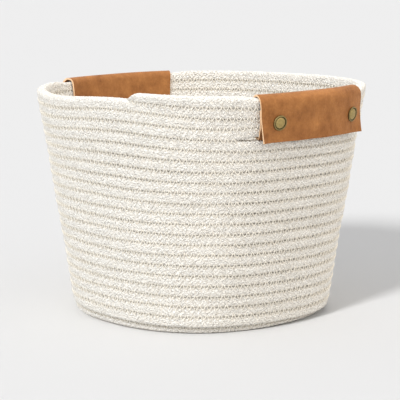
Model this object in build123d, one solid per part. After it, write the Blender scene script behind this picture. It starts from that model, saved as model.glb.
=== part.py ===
"""Rope storage bin: a coil of cotton rope sewn into a tapered, round-cornered square bin, with two
leather-wrapped grips.  Millimetres, +Z up, origin on the floor under the middle of the base, and the
grips on the +X and -X sides.

The rope is one length.  It is coiled flat for the base, climbs 23 turns for the wall and ends on top
of the rim.  It is split here into base, wall, two rim bands and two grip bundles, because each grip
bundle lifts off the turn below it when a hand goes under it.
"""
from build123d import *
from math import atan2, cos, degrees, pi, radians, sin
import os

# Driving dimensions
rope_d = 10.0             # cotton rope
turn_pitch = 9.85         # height of one sewn turn
turns = 23                # turns in the wall
corner_drop = 1.9         # the second turn sits this much lower on the rounded base edge
corner_inset = 2.2        # the lowest turn is pulled in by this much
base_half_x = 116.0       # rope centre line at the base
base_half_y = 113.0
rim_half_x = 151.0        # rope centre line at the rim
rim_half_y = 135.0
base_squareness = 2.3     # exponent of the outline, 2 is an ellipse
rim_squareness = 2.65
rib_face = 4.7            # half thickness of the wall on a turn
rib_groove = 3.2          # half thickness of the wall between two turns
rib_end = 2.2             # half thickness at the floor and on top of the rim
rib_flat = 2.6            # half height of a turn's full thickness
thread_d = 0.8            # the sewing thread, as one flat ring in each outer groove
thread_gap = 0.7

# Rope end and rim heights: the rim falls by one turn from the rope's end, round to below the end
rope_end_x = 52.0         # the rope ends on the -Y side, here
rim_at_end = 224.8        # top of the rim on the +X side of the rope's end
rim_at_right = 222.9      # top of the rim at the +X grip
rim_at_left = 217.9       # top of the rim at the -X grip
rim_below_end = 214.9     # top of the rim on the -X side of the rope's end

# Grips
bundle_turns = 4          # rope turns in a grip
grip_shift = 8.0          # both grips are sewn this much off the middle, towards +Y
slot_half = 82.0          # half length of the hand slot
slot_sink = 1.0           # the turn under the slot is pressed down by this much
slot_clearance = 0.5      # between a grip bundle and the rim beside it
bundle_face = 4.6         # half thickness of the bundle on a turn
bundle_low = 7.0          # lowest rope centre in the bundle, above the slot
bundle_pitch = 8.5        # the leather squeezes the turns together

# Leather wraps
leather = 1.8             # thickness
wrap_half = 62.0          # half length along the rim
inner_leaf = 6.2          # from the bundle's middle to the middle of the inner leaf
tuck_leaf = 6.6           # to the middle of the end that is tucked under the outer leaf
outer_leaf = 8.6          # to the middle of the outer leaf
under_bundle = 0.5        # middle of the leather in the slot, above the slot's edge
over_bundle = 39.2        # middle of the leather on top
bend_height = 5.0         # rise of the bends
tuck_top = 28.0           # top of the tucked end
flap_low = -2.0           # free lower edge of the outer leaf

# Rivets
rivet_along = 46.0        # from the middle of a grip to a rivet
rivet_height = 17.0       # above the slot
stud_d = 3.0
stud_hole_d = 3.1
flange_d = 10.0
flange = 0.7
flange_gap = 0.2          # the flat flange on the curved leather
stud_tip = 0.9            # how far the stem stands into the cap
cap_d = 13.5
cap_edge = 1.1            # thickness at the cap's rim
cap_dish = 0.5            # depth of the dished face
cap_lip = 1.3             # width of the rolled lip
cap_height = 1.9
cap_gap = 0.1             # the flat cap on the curved leather

outline_points = 24
reach = 400.0             # larger than the bin, for cutting blocks
rope_r = rope_d / 2
rim_centre = rope_r + turn_pitch * (turns - 1) - corner_drop
bundle_height = bundle_turns * turn_pitch
lean = degrees(atan2(rim_half_x - base_half_x, rim_centre - rope_r))


def turn_height(turn):
    """Height of a turn's rope centre."""
    return rope_r + turn_pitch * turn - (corner_drop if turn else 0.0)


def outline(angle, height, offset):
    """A point of the rounded-square outline, offset outwards from the rope's centre line."""
    share = (height - rope_r) / (rim_centre - rope_r)
    inset = corner_inset if height < rope_d else 0.0
    half_x = base_half_x + (rim_half_x - base_half_x) * share - inset + offset
    half_y = base_half_y + (rim_half_y - base_half_y) * share - inset + offset
    squareness = base_squareness + (rim_squareness - base_squareness) * share
    spread = abs(cos(angle) / half_x) ** squareness + abs(sin(angle) / half_y) ** squareness
    radius = spread ** (-1 / squareness)
    return radius * cos(angle), radius * sin(angle)


def outline_wire(height, offset):
    """The closed outline at a height."""
    angles = [2 * pi * i / outline_points for i in range(outline_points)]
    points = [(*outline(angle, height, offset), height) for angle in angles]
    return Wire([Edge.make_spline([Vector(*p) for p in points], periodic=True)])


def ribbed_block(side):
    """The space inside (side -1) or within the outside (side +1) of the wall, ribbed by the turns."""
    sections = [(0.0, rib_end)]
    for turn in range(turns):
        middle = turn_height(turn)
        sections.append((middle - rib_flat, rib_face))
        sections.append((middle + rib_flat, rib_face))
        if turn < turns - 1:
            sections.append(((middle + turn_height(turn + 1)) / 2, rib_groove))
    sections.append((rim_centre + rope_r, rib_end))
    faces = [Face(outline_wire(height, side * offset)) for height, offset in sections]
    return Solid(loft(faces, ruled=True).wrapped)


def below(low_x, z_low_x, high_x, z_high_x):
    """A block that fills the space under a plane tilted about Y, between two X positions."""
    corners = Polyline(
        (low_x, 0, -reach), (high_x, 0, -reach), (high_x, 0, z_high_x), (low_x, 0, z_low_x), close=True
    )
    return extrude(Face(Wire(corners.edges())), amount=reach, both=True, dir=(0, 1, 0))


def slot_height(x):
    """Height of the hand slots: they follow the rim, four turns down."""
    middle = (rim_at_right + rim_at_left) / 2 - bundle_height
    return middle + (rim_at_right - rim_at_left) / 2 * x / rim_half_x


def beyond_slots():
    """The two parts of space past the ends of the hand slots, at the front (-Y) and the back (+Y)."""
    block = Pos(0, reach / 2, 0) * Box(2 * reach, reach, 3 * reach)
    return Pos(0, grip_shift - slot_half - reach, 0) * block, Pos(0, grip_shift + slot_half, 0) * block


def under_rim():
    """The space under the rim's top: stepped at the rope's end in front, one plane at the back."""
    fall = (rim_at_left - rim_at_right) / (2 * rim_half_x)
    rise = (rim_at_end - rim_at_right) / (rope_end_x - rim_half_x)
    drop = (rim_below_end - rim_at_left) / (rope_end_x + rim_half_x)
    middle = (rim_at_right + rim_at_left) / 2
    end_side = below(rope_end_x, rim_at_end, reach, rim_at_end + rise * (reach - rope_end_x))
    far_side = below(-reach, rim_below_end - drop * (reach + rope_end_x), rope_end_x, rim_below_end)
    return end_side + far_side, below(-reach, middle + fall * reach, reach, middle - fall * reach)


def rope_body():
    """The base plate, the wall under the slots and the two rim bands."""
    inside = ribbed_block(-1)
    base = inside & Pos(0, 0, rope_d / 2) * Box(reach, reach, rope_d)
    shell = ribbed_block(1) - inside
    under_slots = below(-reach, slot_height(-reach), reach, slot_height(reach))
    window = Pos(0, grip_shift, 0) * Box(2 * reach, 2 * slot_half, 3 * reach)
    wall = (shell & under_slots) - (window - Pos(0, 0, -slot_sink) * under_slots)
    above_slots = shell - under_slots
    front, back = [above_slots & band & rim for band, rim in zip(beyond_slots(), under_rim())]
    return base, wall, front, back


def seam_thread():
    """The sewing thread: a ring in each outer groove above the rounded base edge, and arcs on the rim bands."""
    front_band, back_band = beyond_slots()
    short_band = front_band & Pos(rope_end_x + thread_d + reach / 2, 0, 0) * Box(reach, 2 * reach, reach * 3)
    rings = []
    for turn in range(1, turns - 1):
        height = (turn_height(turn) + turn_height(turn + 1)) / 2
        low = height - thread_d / 2
        inner_edge = outline_wire(low, rib_groove + thread_gap)
        outer_edge = outline_wire(low, rib_groove + thread_gap + thread_d)
        ring = extrude(Face(outer_edge) - Face(inner_edge), amount=thread_d, dir=(0, 0, 1))
        if height < slot_height(0):
            rings += ring.solids()
            continue
        top_seam = turn == turns - 2
        for band in (short_band if top_seam else front_band, back_band):
            rings += (ring & band).solids()
    return Compound(rings)


def grip_centre(along, slot):
    """A point of the +X grip's centre line, at the slot's height."""
    angle = atan2(grip_shift + along, rim_half_x)
    for _ in range(20):
        x, _y = outline(angle, slot + bundle_height / 2, 0)
        angle = atan2(grip_shift + along, x)
    foot_x, _y = outline(angle, slot, 0)
    return Vector(foot_x, grip_shift + along, slot)


def grip_plane(along, slot):
    """Cross-section plane of the +X grip: x out of the bin, y up along the leaning wall."""
    forward = (grip_centre(along + 1, slot) - grip_centre(along - 1, slot)).normalized()
    outward = forward.cross(Vector(0, 0, 1))
    leaning = outward * cos(radians(lean)) - Vector(0, 0, 1) * sin(radians(lean))
    return Plane(grip_centre(along, slot), x_dir=leaning, z_dir=forward * -1)


def along_grip(profile, half, slot):
    """A cross-section swept along the +X grip."""
    steps = 8
    points = [grip_centre(half * (2 * i / steps - 1), slot) for i in range(steps + 1)]
    path = Edge.make_spline(points)
    return sweep(grip_plane(-half, slot) * profile, path=path)


def bundle_profile():
    """Four squeezed rope turns, one above the other."""
    high = bundle_low + bundle_pitch * (bundle_turns - 1)
    right_side = [(rib_end, bundle_low - rope_r)]
    for turn in range(bundle_turns):
        middle = bundle_low + bundle_pitch * turn
        right_side += [(bundle_face, middle - rib_flat), (bundle_face, middle + rib_flat)]
        if turn < bundle_turns - 1:
            right_side.append((rib_groove, middle + bundle_pitch / 2))
    right_side.append((rib_end, high + rope_r))
    left_side = [(-x, y) for x, y in reversed(right_side)]
    return Face(Wire(Polyline(*right_side, *left_side, close=True).edges()))


def leaf_line():
    """Middle line of the leather, from the outer leaf's free edge to the tucked end."""
    crown = over_bundle - bend_height
    sole = under_bundle + bend_height
    top_x = (outer_leaf - inner_leaf) / 2
    sole_x = (tuck_leaf - inner_leaf) / 2
    top_turn = EllipticalCenterArc(
        (top_x, crown), (outer_leaf + inner_leaf) / 2, bend_height, start_angle=0, arc_size=180
    )
    sole_turn = EllipticalCenterArc(
        (sole_x, sole), (tuck_leaf + inner_leaf) / 2, bend_height, start_angle=180, arc_size=180
    )
    return Wire([
        Edge.make_line((outer_leaf, flap_low), (outer_leaf, crown)),
        *top_turn.edges(),
        Edge.make_line((-inner_leaf, crown), (-inner_leaf, sole)),
        *sole_turn.edges(),
        Edge.make_line((tuck_leaf, sole), (tuck_leaf, tuck_top)),
    ])


def grip(side):
    """Rope bundle, leather wrap, rivet caps and rivet studs of the grip on one side."""
    slot = slot_height(side * rim_half_x)
    rope = along_grip(bundle_profile(), slot_half + 2, slot)
    rope &= Pos(0, grip_shift, 0) * Box(2 * reach, 2 * (slot_half - slot_clearance), 2 * reach)
    line = leaf_line()
    strap = Face(offset(line, amount=leather / 2, side=Side.BOTH, kind=Kind.INTERSECTION).wire())
    wrap = along_grip(strap, wrap_half, slot)
    caps = []
    studs = []
    for along in (-rivet_along, rivet_along):
        place = grip_plane(along, slot) * Pos(0, rivet_height, 0) * Rot(0, 90, 0)
        wrap -= place * Pos(0, 0, outer_leaf) * Cylinder(stud_hole_d / 2, 2 * tuck_leaf)
        caps.append(place * rivet_cap())
        studs.append(place * rivet_stud())
    pieces = [rope, wrap, *caps, *studs]
    if side < 0:
        pieces = [mirror(piece, Plane.YZ) for piece in pieces]
    return pieces


def rivet_cap():
    """Flat brass cap with a rolled lip and a blind socket for the stud."""
    seat = outer_leaf + leather / 2 + cap_gap
    up = Align.MIN
    both = (Align.CENTER, Align.CENTER, up)
    cap = Pos(0, 0, seat) * Cylinder(cap_d / 2, cap_height, align=both)
    rim_edges = cap.edges().sort_by(Axis.Z)[-1]
    cap = fillet(rim_edges, cap_height - cap_edge)
    cap -= Pos(0, 0, seat + cap_height - cap_dish) * Cylinder(cap_d / 2 - cap_lip, 2, align=both)
    cap -= Pos(0, 0, seat - 1) * Cylinder(stud_hole_d / 2, 1 + stud_tip + cap_gap, align=both)
    return cap


def rivet_stud():
    """Flanged stem that is set through both leather leaves."""
    both = (Align.CENTER, Align.CENTER, Align.MIN)
    start = tuck_leaf - leather / 2 - flange_gap - flange
    tip = outer_leaf + leather / 2 + stud_tip
    stud = Pos(0, 0, start) * Cylinder(flange_d / 2, flange, align=both)
    return stud + Pos(0, 0, start) * Cylinder(stud_d / 2, tip - start, align=both)


def main():
    os.makedirs("parts", exist_ok=True)
    base, wall, front, back = rope_body()
    pieces = {
        "rope_base": base,
        "rope_wall": wall,
        "rim_front": front,
        "rim_back": back,
        "seam_thread": seam_thread(),
    }
    names = ["grip_rope", "leather_wrap", "cap_front", "cap_back", "stud_front", "stud_back"]
    for side, label in ((1, "right"), (-1, "left")):
        for name, piece in zip(names, grip(side)):
            pieces[f"{name}_{label}"] = piece
    for name, piece in pieces.items():
        export_step(piece, f"parts/{name}.step")


if __name__ == "__main__":
    main()
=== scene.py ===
"""Rope storage bin: a spiral of braided cotton rope joined by zigzag stitching, with two
leather-wrapped grips held by brass rivets.  Metres, +Z up, in the CAD model's frame: the grips are
on the +X and -X sides and the rope ends on the front (-Y) rim.
"""
from math import atan2, cos, degrees, pi, radians, sin

import bmesh
import bpy
import numpy as np
from bpy.props import FloatProperty, FloatVectorProperty, IntProperty, PointerProperty
from mathutils import Matrix, Vector, noise


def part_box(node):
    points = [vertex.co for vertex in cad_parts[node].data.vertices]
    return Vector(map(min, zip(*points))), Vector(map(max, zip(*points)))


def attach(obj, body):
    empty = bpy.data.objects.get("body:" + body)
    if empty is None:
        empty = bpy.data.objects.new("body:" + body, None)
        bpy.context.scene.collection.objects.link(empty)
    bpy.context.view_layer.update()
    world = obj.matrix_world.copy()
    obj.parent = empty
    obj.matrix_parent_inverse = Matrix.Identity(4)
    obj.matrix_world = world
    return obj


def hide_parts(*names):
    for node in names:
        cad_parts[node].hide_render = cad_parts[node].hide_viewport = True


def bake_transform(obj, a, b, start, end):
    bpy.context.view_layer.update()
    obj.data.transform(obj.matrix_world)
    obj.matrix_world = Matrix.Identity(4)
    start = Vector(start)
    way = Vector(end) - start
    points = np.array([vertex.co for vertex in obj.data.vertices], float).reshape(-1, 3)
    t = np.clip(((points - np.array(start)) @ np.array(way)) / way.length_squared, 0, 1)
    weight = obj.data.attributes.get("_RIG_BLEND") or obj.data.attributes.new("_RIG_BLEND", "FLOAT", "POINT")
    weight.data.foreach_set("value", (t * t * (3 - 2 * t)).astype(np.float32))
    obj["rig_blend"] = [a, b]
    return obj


bl_info = {
    "name": "Rope storage bin",
    "version": (1, 0, 0),
    "blender": (4, 5, 0),
    "location": "View3D > Sidebar > Rope Bin",
    "description": "Builds a coiled rope bin with leather grips around its CAD frame",
    "category": "Add Mesh",
}

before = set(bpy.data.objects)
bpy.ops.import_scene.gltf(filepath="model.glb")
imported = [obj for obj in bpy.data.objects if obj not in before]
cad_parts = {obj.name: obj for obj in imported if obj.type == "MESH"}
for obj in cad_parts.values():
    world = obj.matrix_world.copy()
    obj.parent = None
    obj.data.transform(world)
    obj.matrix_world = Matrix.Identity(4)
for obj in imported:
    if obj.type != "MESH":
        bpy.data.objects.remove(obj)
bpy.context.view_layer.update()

WRAP_LOW, WRAP_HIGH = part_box("leather_wrap_right")
RIM_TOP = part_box("rim_front")[1].z
GRIP_SHIFT = (WRAP_LOW.y + WRAP_HIGH.y) / 2
SIDES = {"right": 1, "left": -1}
UP = Vector((0, 0, 1))


# ------------------------------------------------------------
# Sizes and colours
# ------------------------------------------------------------

class RopeSettings(bpy.types.PropertyGroup):
    """The coiled rope."""

    half_height: FloatProperty(
        name="Half height", description="Half of a turn's height", default=0.00528,
        subtype="DISTANCE")
    half_thickness: FloatProperty(
        name="Half thickness", description="Half of the wall's thickness", default=0.0047,
        subtype="DISTANCE")
    pitch: FloatProperty(
        name="Turn spacing", description="From one turn to the next", default=0.00985,
        subtype="DISTANCE")
    turns: IntProperty(name="Turns", description="Turns in the wall above the lowest", default=22)
    base_half: FloatVectorProperty(
        name="Base half size", description="Rope centre line at the base, along X and Y", size=2,
        default=(0.116, 0.113), subtype="XYZ", unit="LENGTH")
    rim_half: FloatVectorProperty(
        name="Rim half size", description="Rope centre line at the rim, along X and Y", size=2,
        default=(0.151, 0.135), subtype="XYZ", unit="LENGTH")
    base_squareness: FloatProperty(
        name="Base squareness", description="Exponent of the outline; 2 is an ellipse", default=2.3)
    rim_squareness: FloatProperty(
        name="Rim squareness", description="Exponent of the outline; 2 is an ellipse", default=2.65)
    edge_radius: FloatProperty(
        name="Base edge radius", description="Rounding between base and wall", default=0.0045,
        subtype="DISTANCE")
    end_angle: FloatProperty(
        name="Rope end", description="Where the rope ends on the rim, from +X",
        default=radians(-69.5), subtype="ANGLE")
    step: FloatProperty(
        name="Step", description="Distance between rings of the rope's mesh", default=0.00105,
        subtype="DISTANCE")
    facets: IntProperty(name="Facets", description="Faces around the rope", default=24)
    braid_cells: IntProperty(name="Braid cells", description="Plaits around the rope", default=8)
    braid_length: FloatProperty(
        name="Braid length", description="Length of one plait along the rope", default=0.0042,
        subtype="DISTANCE")
    squareness: FloatProperty(
        name="Section squareness", description="Exponent of the rope's section; 2 is an ellipse",
        default=4.2)
    relief: FloatProperty(
        name="Braid relief", description="How far each plait stands out", default=0.0004,
        subtype="DISTANCE")
    unevenness: FloatProperty(
        name="Unevenness", description="Depth of the uneven yarns over the braid", default=0.0009,
        subtype="DISTANCE")
    end_swell: FloatProperty(
        name="Swell under the end", description="How far the turns swell up under the rope's end",
        default=0.0036, subtype="DISTANCE")
    corner_dip: FloatProperty(
        name="Dip beside the end", description="How far the turns dip at the corner before the end",
        default=0.0020, subtype="DISTANCE")
    cotton: FloatVectorProperty(
        name="Cotton", description="Colour of the rope", size=3, default=(0.91, 0.875, 0.81),
        min=0, max=1, subtype="COLOR")
    # Painted shade: the beige-brown colour that the rope's hollows are darkened towards.
    painted_plait_shade: FloatVectorProperty(
        name="Cotton between plaits", description="Colour of the rope's hollows", size=3,
        default=(0.50, 0.41, 0.31), min=0, max=1, subtype="COLOR")


class StitchSettings(bpy.types.PropertyGroup):
    """The zigzag sewing thread."""

    spacing: FloatProperty(
        name="Spacing", description="Along the seam, from one stitch to the next", default=0.0030,
        subtype="DISTANCE")
    reach: FloatProperty(
        name="Reach", description="Height of a stitch across the seam", default=0.0066,
        subtype="DISTANCE")
    thickness: FloatProperty(
        name="Thread radius", description="Radius of the thread", default=0.00048,
        subtype="DISTANCE")
    slant: FloatProperty(
        name="Slant", description="How far each stitch leans, left and right by turns",
        default=0.44, subtype="ANGLE")
    dip: FloatProperty(
        name="Dip", description="How far a stitch's ends sink into the rope", default=0.0011,
        subtype="DISTANCE")
    proud: FloatProperty(
        name="Proud", description="How far a stitch's middle stands off the rope's face",
        default=0.00015, subtype="DISTANCE")
    thread: FloatVectorProperty(
        name="Thread", description="Colour of the thread", size=3, default=(0.86, 0.82, 0.74),
        min=0, max=1, subtype="COLOR")


class GripSettings(bpy.types.PropertyGroup):
    """The rope bundles of the grips, their leather and their rivets."""

    slot_half: FloatProperty(
        name="Slot half length", description="Half length of the hand slot", default=0.082,
        subtype="DISTANCE")
    wrap_half: FloatProperty(
        name="Leather half length", description="Half length of the leather along the rim",
        default=(WRAP_HIGH.y - WRAP_LOW.y) / 2 - 0.0062, subtype="DISTANCE")
    squeeze_low: FloatProperty(
        name="Lowest turn's rise", default=0.0020, subtype="DISTANCE",
        description="How far the leather lifts the bundle's lowest turn")
    squeeze_step: FloatProperty(
        name="Squeeze", description="How much closer together the bundle's turns lie",
        default=0.00135, subtype="DISTANCE")
    sink: FloatProperty(
        name="Slot sink", description="How far the turn under the slot is pressed down",
        default=0.0010, subtype="DISTANCE")
    leather_thickness: FloatProperty(
        name="Leather thickness", description="Thickness of the leather", default=0.0019,
        subtype="DISTANCE")
    askew: FloatProperty(
        name="Askew", description="How far the wrap leans along the rim for its height",
        default=0.10)
    edge_bevel: FloatProperty(
        name="Edge bevel", description="Width of the bevel on the leather's cut edges",
        default=0.00022, subtype="DISTANCE")
    flare: FloatProperty(
        name="Flare", description="How far the outer leaf's free edge stands off at its ends",
        default=0.0042, subtype="DISTANCE")
    leather: FloatVectorProperty(
        name="Leather", description="Colour of the leather", size=3, default=(0.322, 0.126, 0.033),
        min=0, max=1, subtype="COLOR")
    leather_edge: FloatVectorProperty(
        name="Cut edge", description="Colour of the leather's cut edge", size=3,
        default=(0.86, 0.56, 0.33), min=0, max=1, subtype="COLOR")
    rivet_scale: FloatProperty(
        name="Rivet size", description="Size of a rivet cap across, as a share of its profile",
        default=1.06)
    brass: FloatVectorProperty(
        name="Brass", description="Colour of the rivets", size=3, default=(0.46, 0.34, 0.13),
        min=0, max=1, subtype="COLOR")


class StageSettings(bpy.types.PropertyGroup):
    """Camera, lights and floor."""

    azimuth: FloatProperty(
        name="Camera azimuth", description="Camera direction from the front",
        default=radians(49.5),
        subtype="ANGLE")
    distance: FloatProperty(
        name="Camera distance", description="Along the floor", default=1.780, subtype="DISTANCE")
    height: FloatProperty(
        name="Camera height", description="Above the floor", default=0.394, subtype="DISTANCE")
    pitch: FloatProperty(
        name="Camera pitch", description="How far the camera looks down", default=radians(9.18),
        subtype="ANGLE")
    roll: FloatProperty(
        name="Camera roll", description="Counter-clockwise tilt of the camera",
        default=radians(-0.48), subtype="ANGLE")
    lens: FloatProperty(name="Lens", description="Focal length on a 36 mm sensor", default=165.6)
    floor: FloatVectorProperty(
        name="Floor", description="Colour of the floor", size=3, default=(0.80, 0.80, 0.80),
        min=0, max=1, subtype="COLOR")
    key_turn: FloatProperty(
        name="Key turn", description="How far left of the camera the key lights are",
        default=radians(31), subtype="ANGLE")
    key_height: FloatProperty(
        name="Key height", description="Elevation of the key lights", default=radians(30),
        subtype="ANGLE")
    floor_key: FloatProperty(name="Floor key", description="Key light on the floor", default=2.6)
    object_key: FloatProperty(
        name="Object key", description="Key light on the bin", default=1.8)
    object_fill: FloatProperty(
        name="Object fill", description="Soft light from the right on the bin", default=1.7)
    object_top: FloatProperty(
        name="Object top light", description="Soft light from above on the bin", default=0.8)
    object_back: FloatProperty(
        name="Object back light", description="Soft light from behind on the bin", default=0.6)
    sky: FloatProperty(
        name="Light all round", description="Strength of the light all round", default=0.91)


def settings():
    """The four setting groups of the scene."""
    scene = bpy.context.scene
    return scene.bin_rope, scene.bin_stitch, scene.bin_grip, scene.bin_stage


# ------------------------------------------------------------
# The rope's path.  A place on the rope is its turn: 0 at the lowest turn, 22 at the end on the rim,
# and below 0 in the flat coil of the base.
# ------------------------------------------------------------

CORNER_DROP = 0.0019      # the rounded base edge brings the turns this much lower
BUNDLE_TURNS = 4          # turns over a hand slot
GRIP_SIDE = 0.09          # further out than this along X, a place is on a grip's side
GRIP_MIDDLE = 0.02        # height of a grip's middle above its slot
SLOT_ROUND = 0.004        # the slot closes this far past its half length
SLOT_RISE = 0.016         # the slot opens over this length
TAPER = 0.017             # length of the rope's tapered end
PAST_MIDDLE = 0.0018      # the curl in the base starts this far past the middle, and leaves no hole
SWELL_SPREAD = 0.42       # radians each way that the swell under the rope's end spreads
DIP_PLACE, DIP_SPREAD = -0.82, 0.32     # radians from the end to the dip, and its spread
SWELL_TURNS = 13, 20.5    # the swell grows from the first of these turns to the second
ON_TOP = 0.34, 0.24       # turns from the end over which the rope comes to lie on the swell
PATH_SAMPLES = 60000      # samples of the whole rope, from which its length is measured
SEAM_SAMPLES = 3000       # the same for one turn of a seam


def smooth(low, high, value):
    """0 below low, 1 above high, and smooth between them."""
    share = np.clip((value - low) / (high - low), 0, 1)
    return share * share * (3 - 2 * share)


def outline(angle, height):
    """Distance from the bin's axis to the rope's centre line."""
    rope = settings()[0]
    rope_r = rope.pitch / 2
    top = rope.pitch * rope.turns - CORNER_DROP
    share = np.clip((height - rope_r) / top, 0, 1.05)
    half_x = rope.base_half[0] + (rope.rim_half[0] - rope.base_half[0]) * share
    half_y = rope.base_half[1] + (rope.rim_half[1] - rope.base_half[1]) * share
    power = rope.base_squareness + (rope.rim_squareness - rope.base_squareness) * share
    spread = np.abs(np.cos(angle) / half_x) ** power + np.abs(np.sin(angle) / half_y) ** power
    return spread ** (-1 / power)


def turn_angle(turn):
    """The rope falls counter-clockwise, so an earlier turn is further round."""
    rope = settings()[0]
    return rope.end_angle + 2 * pi * (rope.turns - turn)


def first_turn():
    """Where the rope starts, curled up in the middle of the base."""
    rope = settings()[0]
    mean_half = sum(rope.base_half) / 2
    run = rope.edge_radius * (pi / 2 - 1) + mean_half + PAST_MIDDLE
    return edge_turn() - run / rope.pitch


def edge_turn():
    """Where the wall meets the rounded base edge."""
    rope = settings()[0]
    return (rope.edge_radius + CORNER_DROP) / rope.pitch


def grip_weights(x, y):
    """How much the leather squeezes the bundle there, and how open the slot is there."""
    grip = settings()[2]
    along = np.abs(y - GRIP_SHIFT)
    beside = np.abs(x) > GRIP_SIDE
    closed = grip.slot_half + SLOT_ROUND
    squeeze = beside * (1 - smooth(grip.wrap_half, closed, along))
    opening = beside * (1 - smooth(closed - SLOT_RISE, closed, along))
    return squeeze, opening


def end_swell(turn):
    """The upper turns swell upwards under the rope's end and dip at the corner beside it.

    Also how much of that flattens the last stretch of rope, which lies on top.
    """
    rope = settings()[0]
    away = np.mod(turn_angle(turn) - rope.end_angle + pi, 2 * pi) - pi
    swell = rope.end_swell * np.exp(-(away / SWELL_SPREAD) ** 2)
    swell -= rope.corner_dip * np.exp(-((away - DIP_PLACE) / DIP_SPREAD) ** 2)
    swell *= smooth(*SWELL_TURNS, turn)
    on_top = smooth(rope.turns - ON_TOP[0], rope.turns - ON_TOP[1], turn)
    return swell, swell * on_top / 2


def rope_places(turn):
    """Centre, direction to the next turn, and the squeeze, for places on the rope."""
    rope, _, grip, _ = settings()
    angle = turn_angle(turn)
    bend = np.clip((edge_turn() - turn) * rope.pitch, 0, None)
    curl = np.minimum(bend / rope.edge_radius, pi / 2)
    floor_run = np.clip(bend - rope.edge_radius * pi / 2, 0, None)
    mean_half = sum(rope.base_half) / 2
    inset = rope.edge_radius * (1 - np.cos(curl)) + floor_run
    on_wall = rope.half_height + rope.pitch * turn - CORNER_DROP
    on_edge = rope.half_height + rope.edge_radius * (1 - np.sin(curl))
    height = np.where(bend > 0, on_edge, on_wall)

    # A sewn rope wanders a little, up and down and in and out.
    wave = (0.00045 * np.sin(2 * angle + height / 0.040)
            + 0.00035 * np.sin(3 * angle - height / 0.026))
    sway = (0.00028 * np.sin(turn * 11.9 + 0.7) + 0.00022 * np.sin(turn * 29.3)
            + 0.00012 * np.sin(turn * 71))
    upright = np.cos(curl) * smooth(0.3, 2.0, turn)
    radius = outline(angle, height) * (1 - inset / mean_half) + sway * upright
    x, y = radius * np.cos(angle), radius * np.sin(angle)

    squeeze, opening = grip_weights(x, y)
    place = np.floor(turn - (rope.turns - BUNDLE_TURNS))
    in_bundle = turn >= rope.turns - BUNDLE_TURNS
    # The turn under a slot is pressed down, and the one under that a little.
    pressed = np.where(place == -1, grip.sink, np.where(place == -2, 0.4 * grip.sink, 0))
    lifted = squeeze * (grip.squeeze_low - grip.squeeze_step * place)
    moved = np.where(in_bundle, lifted, -opening * pressed)
    swell, flattened = end_swell(turn)
    height = height + moved + wave * upright * (1 - squeeze) + swell - flattened

    outward = np.stack([np.cos(angle), np.sin(angle), np.zeros_like(angle)], 1)
    nearby = 0.005
    rise = outline(angle, height + nearby) - outline(angle, height - nearby)
    tip = np.where(bend > 0, curl, 0) + np.arctan(rise / (2 * nearby)) * np.cos(curl)
    ahead = outward * np.sin(tip)[:, None] + np.array(UP) * np.cos(tip)[:, None]
    return np.stack([x, y, height], 1), ahead, squeeze


def unit(vectors):
    """The same directions with length 1."""
    return vectors / np.linalg.norm(vectors, axis=1)[:, None]


def square_to(run, vectors):
    """The directions turned square to run, with length 1."""
    return unit(vectors - run * np.sum(vectors * run, 1)[:, None])


def rope_frame(turn):
    """Centre, face direction, next-turn direction and half sizes of the rope, square to its run."""
    rope = settings()[0]
    centre, ahead, squeeze = rope_places(turn)
    run = unit(rope_places(turn + 0.001)[0] - rope_places(turn - 0.001)[0])
    ahead = square_to(run, ahead)
    face = np.cross(ahead, run)
    half_v = rope.half_height * (1 - 0.09 * squeeze) - end_swell(turn)[1]
    left = (rope.turns - turn) * turn_length(rope.turns)
    taper = smooth(0, TAPER, left)
    # The end thins to a point that is sewn down on the turn under it.
    centre = centre - ahead * ((1 - taper) * rope.half_height * 0.85)[:, None]
    half_h = rope.half_thickness * (0.35 + 0.65 * taper)
    return centre, face, ahead, half_h, half_v * (0.12 + 0.88 * taper)


def turn_length(turn):
    """Rough length of a turn: an ellipse's, and a little more because the outline is squarer."""
    rope = settings()[0]
    share = np.clip(turn / rope.turns, -0.5, 1)
    across = sum(rope.base_half) + (sum(rope.rim_half) - sum(rope.base_half)) * share
    flat = np.clip((turn - first_turn()) / -first_turn(), 0.02, 1)
    return pi * across * flat * 1.03


def evenly(fine, path, step):
    """Turns at even steps along a path sampled at fine turns, with the length up to each."""
    length = np.concatenate([[0], np.cumsum(np.linalg.norm(np.diff(path, axis=0), axis=1))])
    steps = np.arange(0, length[-1], step)
    return np.interp(steps, length, fine), steps


def rope_samples():
    """Turns at even steps along the whole rope, with the length of rope up to each."""
    rope = settings()[0]
    fine = np.linspace(first_turn(), rope.turns, PATH_SAMPLES)
    return evenly(fine, rope_places(fine)[0], rope.step)


# ------------------------------------------------------------
# Node trees
# ------------------------------------------------------------

class Tree:
    """A node tree with short calls for adding nodes and links."""

    def __init__(self, tree):
        self.tree = tree

    def add(self, kind, inputs=(), **facts):
        """A node with its properties set, and its inputs linked or set by name or number."""
        node = self.tree.nodes.new(kind)
        for name, value in facts.items():
            setattr(node, name, value)
        for key, value in dict(inputs).items():
            self.feed(node.inputs[key], value)
        return node

    def feed(self, socket, value):
        """Links an output to the socket, or sets the socket's own value."""
        if isinstance(value, bpy.types.NodeSocket):
            self.tree.links.new(value, socket)
        else:
            socket.default_value = value

    def math(self, operation, *values):
        """One step of arithmetic."""
        return self.add("ShaderNodeMath", enumerate(values), operation=operation).outputs[0]

    def vector(self, operation, *values):
        """One step of vector arithmetic."""
        node = self.add("ShaderNodeVectorMath", operation=operation)
        for socket, value in zip(node.inputs, values):
            self.feed(socket, value)
        return node.outputs[0]

    def scaled(self, vector, factor):
        """A vector times a number."""
        node = self.add("ShaderNodeVectorMath", {"Scale": factor}, operation="SCALE")
        self.feed(node.inputs[0], vector)
        return node.outputs[0]

    def named(self, name, kind="FLOAT"):
        """An attribute of the geometry."""
        node = self.add("GeometryNodeInputNamedAttribute", {"Name": name}, data_type=kind)
        return node.outputs["Attribute"]


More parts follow.
